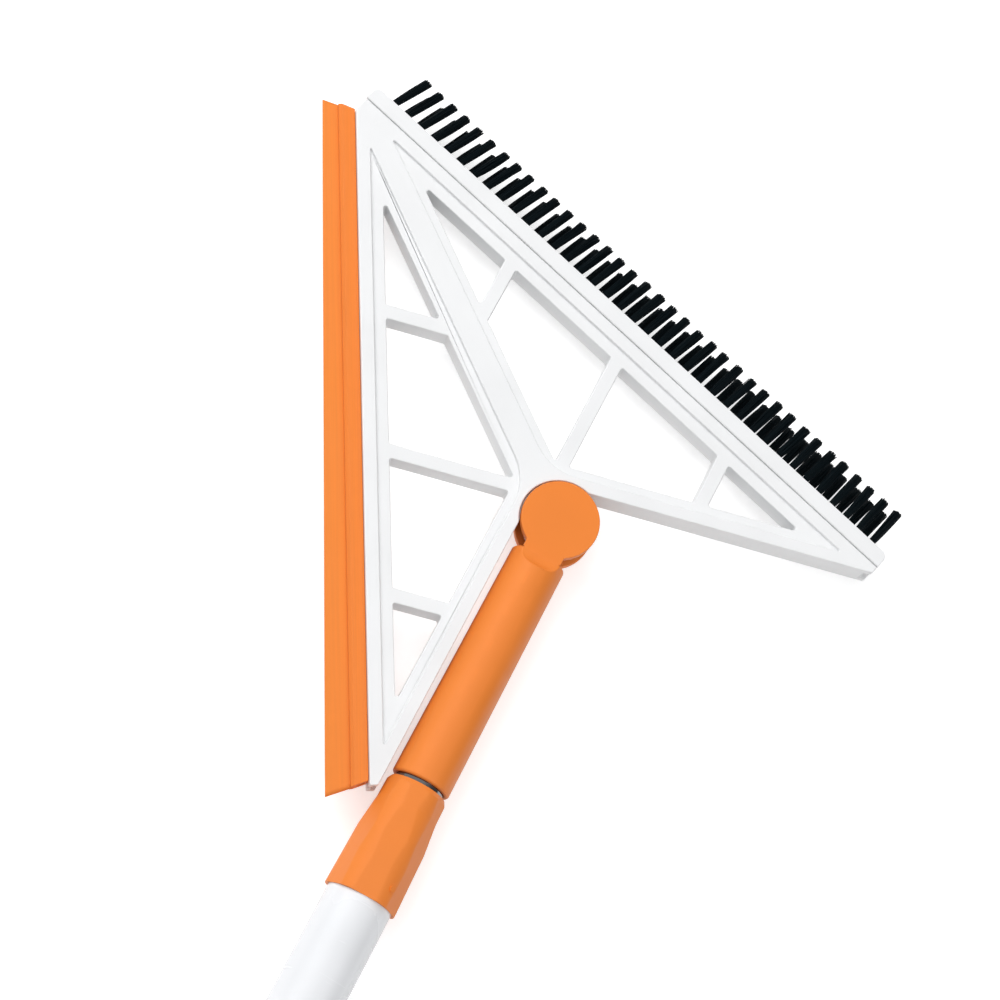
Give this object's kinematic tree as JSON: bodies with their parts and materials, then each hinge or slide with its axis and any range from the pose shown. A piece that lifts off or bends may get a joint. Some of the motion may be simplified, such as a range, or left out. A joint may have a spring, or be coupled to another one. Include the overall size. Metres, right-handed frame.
{
  "type": "window cleaning squeegee",
  "caption": "Triangular window cleaning head with a rubber squeegee blade on one side and a bristle brush on the other, swivelling on a telescopic twist-lock pole.",
  "frame": {"origin": "centre of the hang hole in the end cap, on the pole's axis", "axes": "+Y along the pole towards the head, +Z out of the head's front face and along the hang hole, +X to the right as the front face is seen"},
  "size_m": [0.2617, 0.6338, 0.03],
  "materials": {
    "white_plastic": "white moulded plastic, satin",
    "orange_plastic": "orange moulded plastic, satin",
    "orange_holder": "orange extruded plastic strip",
    "orange_rubber": "soft orange rubber",
    "orange_grip": "soft orange grip",
    "black_bristle": "black nylon filament",
    "zinc_steel": "zinc plated steel",
    "polished_steel": "polished tube",
    "white_paint": "gloss white paint",
    "natural_nylon": "natural nylon",
    "grey_plastic": "grey moulded plastic"
  },
  "bodies": {
    "pole": {"outer_tube": "white_paint", "guide_bush": "natural_nylon", "twist_collar": "orange_plastic", "collar_pin": "orange_plastic", "hand_grip": "orange_grip", "end_cap": "orange_plastic"},
    "lock": {"lock_collet": "natural_nylon"},
    "cone": {"lock_cone": "natural_nylon"},
    "handle": {"handle_sleeve": "orange_plastic", "sleeve_screw": "zinc_steel", "pivot_bush": "zinc_steel", "pivot_screw": "zinc_steel", "pivot_nut": "zinc_steel", "front_washer": "natural_nylon", "rear_washer": "natural_nylon", "spring_washer": "zinc_steel", "inner_tube": "polished_steel", "lock_stud": "grey_plastic", "stud_nut": "zinc_steel"},
    "head": {"head_frame": "white_plastic", "blade_holder": "orange_holder", "rubber_blade": "orange_rubber", "brush_block": "white_plastic", "bristles_front": "black_bristle", "bristles_rear": "black_bristle", "tuft_anchors": "zinc_steel"}
  },
  "joints": [
    {"name": "pole_slide", "type": "slide", "parent": "pole", "child": "lock", "axis": [0, 1, 0], "range_m": [-0.0012, 0.24]},
    {"name": "pole_twist", "type": "hinge", "parent": "lock", "child": "handle", "pos_m": [0, 0, 0], "axis": [0, 1, 0], "range_deg": [0, 180]},
    {"name": "cone_travel", "type": "slide", "parent": "lock", "child": "cone", "axis": [0, 1, 0], "range_m": [0, 0.002]},
    {"name": "head_swivel", "type": "hinge", "parent": "handle", "child": "head", "pos_m": [0, 0.4944, 0], "axis": [0, 0, 1], "range_deg": [-104, 0]}
  ],
  "couplings": [
    {"joint": "cone_travel", "follows": "pole_twist", "m_per_rad": 0.000636}
  ]
}
